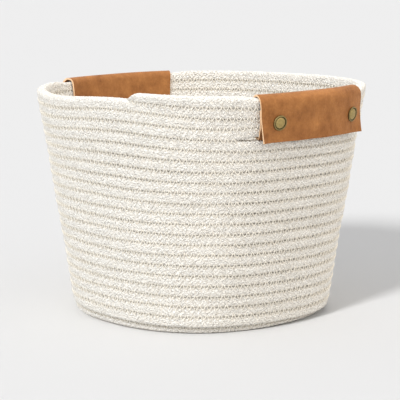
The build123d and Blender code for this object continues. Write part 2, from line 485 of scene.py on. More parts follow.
def new_geometry_tree(name, inputs):
    """A geometry tree with a geometry input and named inputs: (name, socket type, default)."""
    tree = bpy.data.node_groups.new(name, "GeometryNodeTree")
    tree.interface.new_socket("Geometry", in_out="INPUT", socket_type="NodeSocketGeometry")
    for label, kind, default in inputs:
        socket = tree.interface.new_socket(label, in_out="INPUT", socket_type=kind)
        if default is not None:
            socket.default_value = default
    tree.interface.new_socket("Geometry", in_out="OUTPUT", socket_type="NodeSocketGeometry")
    nodes = Tree(tree)
    return nodes, nodes.add("NodeGroupInput"), nodes.add("NodeGroupOutput")


def finished(nodes, geometry, given, made):
    """Ends a geometry tree with real geometry in its material."""
    real = nodes.add("GeometryNodeRealizeInstances", {"Geometry": geometry})
    finish = nodes.add("GeometryNodeSetMaterial", {
        "Geometry": real.outputs["Geometry"], "Material": given.outputs["Material"]})
    nodes.feed(made.inputs["Geometry"], finish.outputs["Geometry"])
    return nodes.tree


def plait_height(nodes, along, across):
    """Height of the braid's plaits, 0 to 1, from plaits along and plaits across."""
    first = nodes.math("SINE", nodes.math("MULTIPLY", nodes.math("ADD", along, across), pi))
    second = nodes.math("SINE", nodes.math("MULTIPLY", nodes.math("SUBTRACT", along, across), pi))
    both = nodes.math("ABSOLUTE", nodes.math("MULTIPLY", first, second))
    return nodes.math("POWER", both, 0.6)


def rope_tree():
    """Sweeps a rounded-square section along each path, and raises the braid's plaits on it."""
    nodes, given, made = new_geometry_tree("rope_from_path", [
        ("Facets", "NodeSocketInt", 24),
        ("Plaits around", "NodeSocketFloat", 8.0),
        ("Plait length", "NodeSocketFloat", 0.0042),
        ("Relief", "NodeSocketFloat", 0.0004),
        ("Section", "NodeSocketFloat", 4.2),
        ("Unevenness", "NodeSocketFloat", 0.0009),
        ("Material", "NodeSocketMaterial", None),
    ])
    facets, plaits = given.outputs["Facets"], given.outputs["Plaits around"]
    path = nodes.add("GeometryNodeMeshToCurve", {"Mesh": given.outputs["Geometry"]})
    circle = nodes.add("GeometryNodeCurvePrimitiveCircle", {"Resolution": facets})
    index = nodes.add("GeometryNodeInputIndex").outputs[0]
    ring = nodes.add("GeometryNodeStoreNamedAttribute", {
        "Geometry": circle.outputs["Curve"], "Name": "around",
        "Value": nodes.math("DIVIDE", index, facets)}, data_type="FLOAT", domain="POINT")
    tube = nodes.add("GeometryNodeCurveToMesh", {
        "Curve": path.outputs["Curve"], "Profile Curve": ring.outputs["Geometry"],
        "Fill Caps": True})

    around = nodes.named("around")
    turned = nodes.math("MULTIPLY", around, 2 * pi)
    rise = nodes.math("MULTIPLY", nodes.math("COSINE", turned), -1.0)
    out = nodes.math("SINE", turned)
    power = given.outputs["Section"]
    spread = nodes.math(
        "ADD",
        nodes.math("POWER", nodes.math("ABSOLUTE", rise), power),
        nodes.math("POWER", nodes.math("ABSOLUTE", out), power))
    section = nodes.math("POWER", spread, nodes.math("DIVIDE", -1.0, power))
    along = nodes.math("DIVIDE", nodes.named("rope_s"), given.outputs["Plait length"])
    across = nodes.math("MULTIPLY", around, plaits)
    plait = nodes.math("SUBTRACT", plait_height(nodes, along, across), 0.5)
    raised = nodes.math("MULTIPLY", plait, given.outputs["Relief"])
    unrolled = nodes.add("ShaderNodeCombineXYZ", {
        "X": along, "Y": nodes.math("SINE", turned), "Z": nodes.math("COSINE", turned)})
    yarns = nodes.add("ShaderNodeTexNoise", {
        "Vector": unrolled.outputs[0], "Scale": 1.9, "Detail": 2.0}).outputs[0]
    bumps = nodes.math("MULTIPLY", nodes.math("SUBTRACT", yarns, 0.5), given.outputs["Unevenness"])
    raised = nodes.math("MULTIPLY", nodes.math("ADD", raised, bumps), nodes.named("taper"))

    def reach(attribute, share):
        """How far the section reaches one way, from its half size and a share of it."""
        half = nodes.math("ADD", nodes.named(attribute), raised)
        return nodes.math("MULTIPLY", nodes.math("MULTIPLY", half, section), share)

    sideways = nodes.scaled(nodes.named("face", "FLOAT_VECTOR"), reach("half_h", out))
    onwards = nodes.scaled(nodes.named("ahead", "FLOAT_VECTOR"), reach("half_v", rise))
    centre = nodes.named("centre", "FLOAT_VECTOR")
    place = nodes.vector("ADD", centre, nodes.vector("ADD", sideways, onwards))
    shaped = nodes.add("GeometryNodeSetPosition", {
        "Geometry": tube.outputs["Mesh"], "Position": place})
    pattern = nodes.add("ShaderNodeCombineXYZ", {"X": along, "Y": across})
    mapped = nodes.add("GeometryNodeStoreNamedAttribute", {
        "Geometry": shaped.outputs["Geometry"], "Name": "UVMap", "Value": pattern.outputs[0]},
        data_type="FLOAT2", domain="CORNER")
    smoothed = nodes.add("GeometryNodeSetShadeSmooth", {"Geometry": mapped.outputs["Geometry"]})
    return finished(nodes, smoothed.outputs["Geometry"], given, made)


def stitch_tree():
    """Sets one slanting stitch on each point, leaning one way and then the other."""
    nodes, given, made = new_geometry_tree("zigzag_stitches", [
        ("Reach", "NodeSocketFloat", 0.0066),
        ("Thread radius", "NodeSocketFloat", 0.00048),
        ("Slant", "NodeSocketFloat", 0.44),
        ("Dip", "NodeSocketFloat", 0.0011),
        ("Material", "NodeSocketMaterial", None),
    ])
    line = nodes.add("GeometryNodeCurvePrimitiveLine", {"Start": (0, 0, -0.5), "End": (0, 0, 0.5)})
    spaced = nodes.add("GeometryNodeResampleCurve", {"Curve": line.outputs["Curve"], "Count": 6})
    place = nodes.add("GeometryNodeInputPosition").outputs[0]
    height = nodes.add("ShaderNodeSeparateXYZ", {"Vector": place}).outputs["Z"]
    end = nodes.math("POWER", nodes.math("ABSOLUTE", nodes.math("MULTIPLY", height, 2.0)), 3.0)
    dip = nodes.math("MULTIPLY", nodes.math("MULTIPLY", end, given.outputs["Dip"]), -1.0)
    bent = nodes.add("ShaderNodeCombineXYZ", {
        "X": dip, "Z": nodes.math("MULTIPLY", height, given.outputs["Reach"])})
    leg = nodes.add("GeometryNodeSetPosition", {
        "Geometry": spaced.outputs["Curve"], "Position": bent.outputs[0]})
    ring = nodes.add("GeometryNodeCurvePrimitiveCircle", {
        "Resolution": 4, "Radius": given.outputs["Thread radius"]})
    tube = nodes.add("GeometryNodeCurveToMesh", {
        "Curve": leg.outputs["Geometry"], "Profile Curve": ring.outputs["Curve"],
        "Fill Caps": True})
    smoothed = nodes.add("GeometryNodeSetShadeSmooth", {"Geometry": tube.outputs["Mesh"]})

    turn = nodes.add("FunctionNodeAxesToRotation", primary_axis="Z", secondary_axis="X")
    nodes.feed(turn.inputs[0], nodes.named("ahead", "FLOAT_VECTOR"))
    nodes.feed(turn.inputs[1], nodes.named("face", "FLOAT_VECTOR"))
    slant = nodes.math("MULTIPLY", nodes.named("lean"), given.outputs["Slant"])
    tilt = nodes.add("FunctionNodeAxisAngleToRotation", {"Axis": (1, 0, 0), "Angle": slant})
    turned = nodes.add("FunctionNodeRotateRotation", rotation_space="LOCAL")
    nodes.feed(turned.inputs[0], turn.outputs[0])
    nodes.feed(turned.inputs[1], tilt.outputs[0])
    copies = nodes.add("GeometryNodeInstanceOnPoints", {
        "Points": given.outputs["Geometry"], "Instance": smoothed.outputs["Geometry"],
        "Rotation": turned.outputs[0]})
    return finished(nodes, copies.outputs["Instances"], given, made)


def tree_named(name, builder):
    """The node tree of that name, built the first time."""
    return bpy.data.node_groups.get(name) or builder()


# What only the trees read, removed from the finished meshes.
SCRATCH = ("around", "centre", "face", "ahead", "half_h", "half_v", "rope_s", "taper", "lean")


def run_tree(name, mesh, tree, values):
    """A plain mesh object made by running a geometry tree on a mesh."""
    source = bpy.data.objects.new(name + "_path", mesh)
    bpy.context.scene.collection.objects.link(source)
    modifier = source.modifiers.new("build", "NODES")
    modifier.node_group = tree
    for item in tree.interface.items_tree:
        if item.in_out == "INPUT" and item.name in values:
            modifier[item.identifier] = values[item.name]
    bpy.context.view_layer.update()
    depsgraph = bpy.context.evaluated_depsgraph_get()
    result = bpy.data.meshes.new_from_object(source.evaluated_get(depsgraph), depsgraph=depsgraph)
    bpy.data.objects.remove(source)
    result.name = name
    piece = bpy.data.objects.new(name, result)
    bpy.context.scene.collection.objects.link(piece)
    for spare in [a.name for a in result.attributes if a.name in SCRATCH]:
        result.attributes.remove(result.attributes[spare])
    return piece


def attribute(mesh, name, kind, values):
    """Writes a per-point attribute."""
    made = mesh.attributes.new(name, kind, "POINT")
    key = "vector" if kind == "FLOAT_VECTOR" else "value"
    made.data.foreach_set(key, np.asarray(values, np.float32).ravel())


# ------------------------------------------------------------
# Materials
# ------------------------------------------------------------

def new_material(name):
    """An empty material with its Principled shader."""
    material = bpy.data.materials.new(name)
    material.use_nodes = True
    nodes = Tree(material.node_tree)
    nodes.tree.nodes.clear()
    shader = nodes.add("ShaderNodeBsdfPrincipled")
    output = nodes.add("ShaderNodeOutputMaterial")
    nodes.feed(output.inputs["Surface"], shader.outputs["BSDF"])
    return material, nodes, shader


def mixed(nodes, factor, first, second):
    """A colour mix."""
    node = nodes.add("ShaderNodeMix", data_type="RGBA")
    nodes.feed(node.inputs["Factor"], factor)
    for key, value in (("A", first), ("B", second)):
        socket = next(s for s in node.inputs if s.name == key and s.type == "RGBA")
        nodes.feed(socket, value if isinstance(value, bpy.types.NodeSocket) else (*value[:3], 1))
    return next(s for s in node.outputs if s.type == "RGBA")


def noise_at(nodes, coordinates, scale, detail=3.0, roughness=0.5):
    """Noise, 0 to 1."""
    node = nodes.add("ShaderNodeTexNoise", {
        "Vector": coordinates, "Scale": scale, "Detail": detail, "Roughness": roughness})
    return node.outputs["Fac"]


def ranged(nodes, value, low, high, to_low=0.0, to_high=1.0):
    """A clamped remap."""
    node = nodes.add("ShaderNodeMapRange", {
        "Value": value, "From Min": low, "From Max": high, "To Min": to_low, "To Max": to_high})
    return node.outputs["Result"]


def summed(nodes, *parts):
    """The sum of values, each times its weight."""
    total = 0.0
    for value, weight in parts:
        total = nodes.add("ShaderNodeMath", {0: value, 1: weight, 2: total},
                          operation="MULTIPLY_ADD").outputs[0]
    return total


def bumped(nodes, shader, height, strength, distance):
    """Bump on a shader."""
    bump = nodes.add("ShaderNodeBump", {
        "Strength": strength, "Distance": distance, "Height": height})
    nodes.feed(shader.inputs["Normal"], bump.outputs["Normal"])


def plait_group():
    """Shader group: the braid's plaits and their yarns, from plaits along (X) and across (Y)."""
    tree = bpy.data.node_groups.new("braided_yarn", "ShaderNodeTree")
    tree.interface.new_socket("Vector", in_out="INPUT", socket_type="NodeSocketVector")
    yarns = tree.interface.new_socket("Yarns", in_out="INPUT", socket_type="NodeSocketFloat")
    yarns.default_value = 3.0
    for label in ("Plait", "Yarn"):
        tree.interface.new_socket(label, in_out="OUTPUT", socket_type="NodeSocketFloat")
    nodes = Tree(tree)
    given, made = nodes.add("NodeGroupInput"), nodes.add("NodeGroupOutput")
    split = nodes.add("ShaderNodeSeparateXYZ", {"Vector": given.outputs["Vector"]})
    along, across = split.outputs["X"], split.outputs["Y"]
    nodes.feed(made.inputs["Plait"], plait_height(nodes, along, across))
    first, second = nodes.math("ADD", along, across), nodes.math("SUBTRACT", along, across)
    cells = nodes.math("ADD", nodes.math("FLOOR", first), nodes.math("FLOOR", second))
    swap = nodes.math("GREATER_THAN", nodes.math("PINGPONG", cells, 1.0), 0.5)

    def stripes(value):
        """Yarns side by side within a plait."""
        turned = nodes.math("MULTIPLY", nodes.math("MULTIPLY", value, given.outputs["Yarns"]), pi)
        return nodes.math("ABSOLUTE", nodes.math("SINE", turned))

    straight = nodes.math("MULTIPLY", stripes(second), nodes.math("SUBTRACT", 1.0, swap))
    crossed = nodes.math("MULTIPLY", stripes(first), swap)
    nodes.feed(made.inputs["Yarn"], nodes.math("ADD", straight, crossed))
    return tree


def braided_cotton():
    """Matte off-white braided cotton: uneven plaits of soft yarn and fluff, with painted shade in the
    hollows between plaits and loops.
    """
    rope = settings()[0]
    material, nodes, shader = new_material("braided_cotton")
    places = nodes.add("ShaderNodeUVMap", uv_map="UVMap").outputs["UV"]
    wobble = nodes.add("ShaderNodeTexNoise", {"Vector": places, "Scale": 1.1, "Detail": 2.0})
    shift = nodes.scaled(nodes.vector("SUBTRACT", wobble.outputs["Color"], (0.5, 0.5, 0.5)), 0.9)
    bent = nodes.vector("ADD", places, shift)
    group = nodes.add("ShaderNodeGroup", node_tree=tree_named("braided_yarn", plait_group))
    nodes.feed(group.inputs["Vector"], bent)
    plait, yarn = group.outputs["Plait"], group.outputs["Yarn"]
    loops = nodes.add("ShaderNodeTexVoronoi", {"Vector": bent, "Scale": 2.35},
                      voronoi_dimensions="2D")
    loop = loops.outputs["Distance"]
    tone = nodes.add("ShaderNodeSeparateXYZ", {"Vector": loops.outputs["Color"]}).outputs["X"]
    here = nodes.add("ShaderNodeTexCoord").outputs["Object"]
    fluff = noise_at(nodes, here, 900.0, 2.0, 0.6)
    patch = noise_at(nodes, here, 60.0, 3.0, 0.55)
    # Painted shade: the mask is high in the gaps between yarn loops and in the low parts of the plaits.
    gap = ranged(nodes, loop, 0.42, 0.72)
    darkening = nodes.math("MAXIMUM", gap, ranged(nodes, plait, 0.30, 0.0, 0.0, 0.7))
    flecked, clouded = (0.74, 0.66, 0.55), (0.82, 0.75, 0.65)
    # The painted shade darkens the cotton a third of the way at most.
    colour = mixed(nodes, nodes.math("MULTIPLY", darkening, 0.34), rope.cotton, rope.painted_plait_shade)
    colour = mixed(nodes, ranged(nodes, tone, 0.55, 1.0, 0.0, 0.30), colour, flecked)
    colour = mixed(nodes, ranged(nodes, patch, 0.35, 0.75, 0.0, 0.20), colour, clouded)
    nodes.feed(shader.inputs["Base Color"], colour)
    heap = nodes.math("MULTIPLY", ranged(nodes, loop, 0.75, 0.05), 0.9)
    raised = summed(nodes, (plait, 0.5), (yarn, 0.15), (heap, 1.0), (fluff, 0.6))
    bumped(nodes, shader, raised, 1.0, 0.00115)
    shader.inputs["Roughness"].default_value = 0.92
    shader.inputs["Specular IOR Level"].default_value = 0.15
    shader.inputs["Sheen Weight"].default_value = 0.2
    shader.inputs["Sheen Roughness"].default_value = 0.6
    return material


def zigzag_thread():
    """Twisted cotton thread, a little creamier than the rope, with painted shade between its strands."""
    stitch = settings()[1]
    material, nodes, shader = new_material("zigzag_thread")
    here = nodes.add("ShaderNodeTexCoord").outputs["Object"]
    twist = noise_at(nodes, here, 2200.0, 1.0)
    # Painted shade: darker beige patches that stand for the shade between the thread's strands.
    painted_strand_shade = (0.72, 0.65, 0.54)
    colour = mixed(nodes, ranged(nodes, twist, 0.3, 0.7), stitch.thread, painted_strand_shade)
    nodes.feed(shader.inputs["Base Color"], colour)
    bumped(nodes, shader, twist, 0.6, 0.0002)
    shader.inputs["Roughness"].default_value = 0.8
    shader.inputs["Specular IOR Level"].default_value = 0.2
    return material


def grained_leather():
    """Soft tan leather: fine grain, faint creases, cloudy mottling and darker worn spots."""
    grip = settings()[2]
    material, nodes, shader = new_material("grained_leather")
    here = nodes.add("ShaderNodeTexCoord").outputs["Object"]
    mottle = noise_at(nodes, here, 55.0, 6.0, 0.65)
    fine = noise_at(nodes, here, 480.0, 3.0, 0.6)
    stretched = nodes.vector("MULTIPLY", here, (1.0, 1.0, 0.35))
    crease = noise_at(nodes, stretched, 190.0, 3.0, 0.6)
    fold = nodes.math("ABSOLUTE", nodes.math("SUBTRACT", crease, 0.5))
    fold = ranged(nodes, fold, 0.0, 0.05)
    grain = nodes.add("ShaderNodeTexVoronoi", {"Vector": here, "Scale": 800.0},
                      feature="DISTANCE_TO_EDGE")
    pore = ranged(nodes, grain.outputs["Distance"], 0.0, 0.12)
    base = grip.leather
    darker = [base[0] * 0.62, base[1] * 0.55, base[2] * 0.48]
    lighter = [min(1, base[0] * 1.32), base[1] * 1.38, base[2] * 1.46]
    colour = mixed(nodes, ranged(nodes, mottle, 0.30, 0.70), darker, lighter)
    colour = mixed(nodes, ranged(nodes, fine, 0.40, 0.75, 0.0, 0.40), colour, darker)
    colour = mixed(nodes, ranged(nodes, fold, 1.0, 0.0, 0.0, 0.22), colour, lighter)
    nodes.feed(shader.inputs["Base Color"], colour)
    bumped(nodes, shader, summed(nodes, (pore, 0.35), (fine, 0.5), (fold, 0.35)), 0.5, 0.0003)
    nodes.feed(shader.inputs["Roughness"], ranged(nodes, mottle, 0.3, 0.7, 0.62, 0.50))
    shader.inputs["Specular IOR Level"].default_value = 0.22
    return material


def cut_leather():
    """The pale, fibrous cut edge of the leather."""
    grip = settings()[2]
    material, nodes, shader = new_material("cut_leather")
    here = nodes.add("ShaderNodeTexCoord").outputs["Object"]
    fibre = noise_at(nodes, here, 900.0, 3.0, 0.6)
    darker = [c * 0.7 for c in grip.leather_edge]
    colour = mixed(nodes, ranged(nodes, fibre, 0.35, 0.75), grip.leather_edge, darker)
    nodes.feed(shader.inputs["Base Color"], colour)
    bumped(nodes, shader, fibre, 0.5, 0.0003)
    shader.inputs["Roughness"].default_value = 0.85
    return material


def antique_brass():
    """Antiqued brass: dark brown patina in the cap's groove, and painted shade under its seat and on its
    rolled lip, both set by the darkening stored on the cap's points.
    """
    grip = settings()[2]
    material, nodes, shader = new_material("antique_brass")
    here = nodes.add("ShaderNodeTexCoord").outputs["Object"]
    darkening = nodes.add("ShaderNodeAttribute", attribute_name="darkening").outputs["Fac"]
    stain = noise_at(nodes, here, 700.0, 4.0, 0.6)
    worn = noise_at(nodes, here, 2600.0, 2.0, 0.5)
    dull, patina_and_shade = [c * 0.5 for c in grip.brass], [c * 0.14 for c in grip.brass]
    colour = mixed(nodes, ranged(nodes, stain, 0.35, 0.70, 0.0, 0.55), grip.brass, dull)
    # Patina in the groove, painted shade under the seat and on the lip.
    colour = mixed(nodes, darkening, colour, patina_and_shade)
    nodes.feed(shader.inputs["Base Color"], colour)
    shader.inputs["Metallic"].default_value = 0.85
    nodes.feed(shader.inputs["Roughness"], ranged(nodes, stain, 0.3, 0.7, 0.34, 0.55))
    bumped(nodes, shader, worn, 0.35, 0.0001)
    return material


def material_named(name):
    """The material of that name, built the first time."""
    makers = {"braided_cotton": braided_cotton, "zigzag_thread": zigzag_thread,
              "grained_leather": grained_leather, "cut_leather": cut_leather,
              "antique_brass": antique_brass}
    return bpy.data.materials.get(name) or makers[name]()


# ------------------------------------------------------------
# Rope and stitches
# ------------------------------------------------------------

def rope_piece(name, turns, lengths, spans, facets):
    """A rope object along the given spans (first and last sample) of the whole rope."""
    rope = settings()[0]
    picked = [np.arange(first, last + 1) for first, last in spans]
    joined = np.concatenate(picked)
    centre, face, ahead, half_h, half_v = rope_frame(turns[joined])
    ends = set(np.cumsum([len(part) for part in picked]) - 1)
    links = [(i, i + 1) for i in range(len(joined)) if i not in ends]
    mesh = bpy.data.meshes.new(name)
    mesh.from_pydata([tuple(p) for p in centre], links, [])
    attribute(mesh, "centre", "FLOAT_VECTOR", centre)
    attribute(mesh, "face", "FLOAT_VECTOR", face)
    attribute(mesh, "ahead", "FLOAT_VECTOR", ahead)
    attribute(mesh, "half_h", "FLOAT", half_h)
    attribute(mesh, "half_v", "FLOAT", half_v)
    attribute(mesh, "rope_s", "FLOAT", lengths[joined])
    attribute(mesh, "taper", "FLOAT", np.clip(half_v / rope.half_height, 0, 1))
    return run_tree(name, mesh, tree_named("rope_from_path", rope_tree), {
        "Facets": facets,
        "Plaits around": float(rope.braid_cells),
        "Plait length": rope.braid_length,
        "Relief": rope.relief,
        "Section": rope.squareness,
        "Unevenness": rope.unevenness,
        "Material": material_named("braided_cotton"),
    })


def seam_places(low, high):
    """Places along the seam between each turn and the one before it, at even steps."""
    fine = np.linspace(low, high, int((high - low) * SEAM_SAMPLES))
    middle = (rope_places(fine)[0] + rope_places(fine - 1)[0]) / 2
    return evenly(fine, middle, settings()[1].spacing)[0]


def stitch_piece(name, turn, lean, side):
    """Stitches across the seam below the given places, on the outer (+1) or inner (-1) face.

    lean is 1 for a stitch that leans one way and -1 for the other.
    """
    stitch = settings()[1]
    upper, face, _, half_h, _ = rope_frame(turn)
    lower = rope_frame(turn - 1)[0]
    across = unit(upper - lower)
    face = square_to(across, face)
    place = (upper + lower) / 2 + face * (side * (half_h + stitch.proud))[:, None]
    mesh = bpy.data.meshes.new(name)
    mesh.from_pydata([tuple(p) for p in place], [], [])
    attribute(mesh, "face", "FLOAT_VECTOR", face * side)
    attribute(mesh, "ahead", "FLOAT_VECTOR", across)
    attribute(mesh, "lean", "FLOAT", lean)
    return run_tree(name, mesh, tree_named("zigzag_stitches", stitch_tree), {
        "Reach": stitch.reach,
        "Thread radius": stitch.thickness,
        "Slant": stitch.slant,
        "Dip": stitch.dip,
        "Material": material_named("zigzag_thread"),
    })


def quarters(turn):
    """Each quarter of the rim: whether it is at the back, whether right, its name, its places."""
    back = rope_places(turn)[0][:, 1] > GRIP_SHIFT
    right = np.cos(turn_angle(turn)) > 0
    for at_back, end in ((False, "front"), (True, "back")):
        for at_right, hand in ((True, "right"), (False, "left")):
            yield at_back, at_right, f"{end}_{hand}", (back == at_back) & (right == at_right)


def runs_of(mask):
    """First and last index of each unbroken run in a mask, each run a step longer."""
    edges = np.flatnonzero(np.diff(np.concatenate([[0], mask.astype(int), [0]])))
    last = len(mask) - 1
    runs = zip(edges[::2], edges[1::2])
    return [(int(a), int(min(b, last))) for a, b in runs if b - a > 1]


PAST_SLOT = 0.002         # the rope starts to bend this far outside the slot
UNDER_LEATHER = 0.006     # and is bent this far under the leather


def ride_with_grip(piece, back, right):
    """The rim bends from the basket to the grip between the slot's end and the leather."""
    grip = settings()[2]
    way = 1 if back else -1
    x, z = WRAP_HIGH.x if right else -WRAP_HIGH.x, WRAP_LOW.z
    start = (x, GRIP_SHIFT + way * (grip.slot_half + PAST_SLOT), z)
    end = (x, GRIP_SHIFT + way * (grip.wrap_half - UNDER_LEATHER), z)
    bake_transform(piece, "basket", "grip_right" if right else "grip_left", start=start, end=end)


LOWEST_BAND = 0.5         # the base coil ends half a turn up the wall
BASE_FACETS = 16
WALL_BANDS = 5            # the wall's rope is split into this many pieces


class BIN_OT_rope(bpy.types.Operator):
    """Coil the rope: the base, the wall under the slots and the rim with its two grip bundles"""

    bl_idname = "rope_bin.rope"
    bl_label = "Coil the rope"

    def execute(self, context):
        rope = settings()[0]
        turns, lengths = rope_samples()
        below = turns < rope.turns - BUNDLE_TURNS
        base = runs_of(turns < LOWEST_BAND)
        coil = rope_piece("rope_base_coil", turns, lengths, base, BASE_FACETS)
        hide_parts("rope_base")
        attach(coil, "basket")
        bands = np.linspace(LOWEST_BAND, rope.turns - BUNDLE_TURNS, WALL_BANDS + 1)
        for number, (low, high) in enumerate(zip(bands, bands[1:]), start=1):
            spans = runs_of((turns >= low) & (turns < high))
            band = rope_piece(f"rope_wall_{number}", turns, lengths, spans, rope.facets)
            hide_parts("rope_wall")
            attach(band, "basket")
        for at_back, at_right, place, mask in quarters(turns):
            rim = rope_piece("rope_rim_" + place, turns, lengths, runs_of(mask & ~below),
                             rope.facets)
            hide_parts("rim_back" if at_back else "rim_front",
                        "grip_rope_right" if at_right else "grip_rope_left")
            ride_with_grip(rim, at_back, at_right)
        return {"FINISHED"}


FIRST_SEAM = 1.3          # turns from the rope's start to the first stitch
SEAM_BANDS = (7, 13)      # the wall's stitches are split at these turns
SEWN_UNDER = 0.004        # the stitches go on this far under the leather


class BIN_OT_stitches(bpy.types.Operator):
    """Sew each turn to the next with zigzag stitches, on both faces"""

    bl_idname = "rope_bin.stitches"
    bl_label = "Sew the turns"

    def execute(self, context):
        rope, _, grip, _ = settings()
        low, high = first_turn() + FIRST_SEAM, rope.turns - 0.01
        turn = seam_places(low, high)
        lean = np.where(np.arange(len(turn)) % 2 == 0, 1.0, -1.0)
        centre = rope_places(turn)[0]
        along = np.abs(centre[:, 1] - GRIP_SHIFT)
        beside = np.abs(centre[:, 0]) > GRIP_SIDE
        place = np.floor(turn - (rope.turns - BUNDLE_TURNS))
        in_slot = (place == 0) & beside & (along < grip.slot_half)
        hidden = (place > 0) & beside & (along < grip.wrap_half - SEWN_UNDER)
        keep = ~in_slot & ~hidden
        upper = place >= 0
        band = np.digitize(turn, SEAM_BANDS)
        for side, face in ((1, "outside"), (-1, "inside")):
            for number in range(len(SEAM_BANDS) + 1):
                mask = keep & ~upper & (band == number)
                seam = stitch_piece(f"stitches_{face}_{number + 1}", turn[mask], lean[mask], side)
                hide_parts("seam_thread")
                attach(seam, "basket")
            for at_back, at_right, name, here in quarters(turn):
                mask = keep & upper & here
                seam = stitch_piece(f"stitches_rim_{face}_{name}", turn[mask], lean[mask], side)
                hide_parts("seam_thread")
                ride_with_grip(seam, at_back, at_right)
        return {"FINISHED"}


# ------------------------------------------------------------
# Leather and rivets
# ------------------------------------------------------------

def slot_level(side):
    """Height of the hand slot on one side: four turns below the rim's top there."""
    rope = settings()[0]
    angle = 0.0 if side > 0 else pi
    fallen = np.mod(angle - rope.end_angle, 2 * pi) / (2 * pi)
    return RIM_TOP - fallen * rope.pitch - BUNDLE_TURNS * rope.pitch


def grip_frame(side, along):
    """Origin on the slot's level, outward, and up-the-wall directions of a grip, a way along it."""
    rope = settings()[0]
    level = slot_level(side)

    def foot(distance):
        """The wall's middle on the slot's level, a distance along the grip."""
        y = GRIP_SHIFT + distance
        angle = atan2(y, rope.rim_half[0])
        for _ in range(20):
            radius = float(outline(np.array([angle]), np.array([level + GRIP_MIDDLE]))[0])
            angle = atan2(y, radius * cos(angle))
        radius = float(outline(np.array([angle]), np.array([level]))[0])
        return Vector((radius * cos(angle), y, level))

    forward = (foot(along + 0.001) - foot(along - 0.001)).normalized()
    outward = forward.cross(UP).normalized()
    lean = atan2(rope.rim_half[0] - rope.base_half[0], rope.pitch * rope.turns)
    outside = outward * cos(lean) - UP * sin(lean)
    upward = outward * sin(lean) + UP * cos(lean)
    origin = foot(along)
    for vector in (origin, outside, upward):
        vector.x *= side
    return origin, outside, upward


# How far the leather's leaves lie from the wall's middle, and where the rivets are.
LEAF_TUCK, LEAF_INNER, LEAF_OUTER = 0.0066, 0.0062, 0.0086
RIVET_ALONG, RIVET_HEIGHT = 0.0452, 0.017
WRAP_COLUMNS = 63         # places along a wrap at which its section is set
OUTER_ROWS = 12           # points of a section on the outer leaf, which is a little wavier
LEAF_WAVES, CUT_WAVES = 0.00022, 0.0003     # depth of the leather's waves and of its uneven cut
DENTS, DENT_DEPTH = 900, 0.00012            # dents per metre in a rivet's face, and their depth


def leaf_section(opening):
    """Middle line of the leather, as (out, up) points, from the outer leaf's free edge round the
    rope to the tucked end.

    opening is 0 beside a rivet, where the leaves are held together, and 1 at the leather's ends.
    """
    grip = settings()[2]
    flare = grip.flare * (0.35 + 0.65 * opening)
    hug = 0.0030 * opening
    return [
        (LEAF_OUTER + flare * 1.10, -0.0008),
        (LEAF_OUTER + flare * 0.80, 0.0040),
        (LEAF_OUTER + flare * 0.45, 0.0105),
        (LEAF_OUTER + flare * 0.18 * opening, 0.0170),
        (LEAF_OUTER - 0.0001, 0.0240),
        (LEAF_OUTER - 0.0003, 0.0310),
        (LEAF_OUTER - 0.0014, 0.0368),
        (LEAF_OUTER - 0.0044, 0.0400),
        (0.0006, 0.0409),
        (-0.0032, 0.0399),
        (-0.0058, 0.0367),
        (-LEAF_INNER - 0.0001, 0.0305),
        (-LEAF_INNER - 0.0003, 0.0220),
        (-LEAF_INNER - 0.0004, 0.0120),
        (-0.0060, 0.0058),
        (-0.0042, 0.0020),
        (0.0000, 0.0007),
        (0.0034 - hug * 0.3, 0.0016),
        (LEAF_TUCK - 0.0008 - hug * 0.6, 0.0048),
        (LEAF_TUCK - hug * 0.25, 0.0110),
        (LEAF_TUCK, 0.0170),
        (LEAF_TUCK, 0.0230),
        (LEAF_TUCK, 0.0285),
    ]


def rounded(points, steps):
    """Points along a smooth (Catmull-Rom) curve through the given points."""
    grid = np.array(points, float)
    padded = np.vstack([2 * grid[0] - grid[1], grid, 2 * grid[-1] - grid[-2]])
    out = []
    for i in range(1, len(padded) - 2):
        before, here, after, beyond = padded[i - 1:i + 3]
        for k in range(steps):
            t = k / steps
            out.append(0.5 * (2 * here + (after - before) * t
                              + (2 * before - 5 * here + 4 * after - beyond) * t * t
                              + (3 * here - before - 3 * after + beyond) * t ** 3))
    out.append(padded[-2])
    return np.array(out)


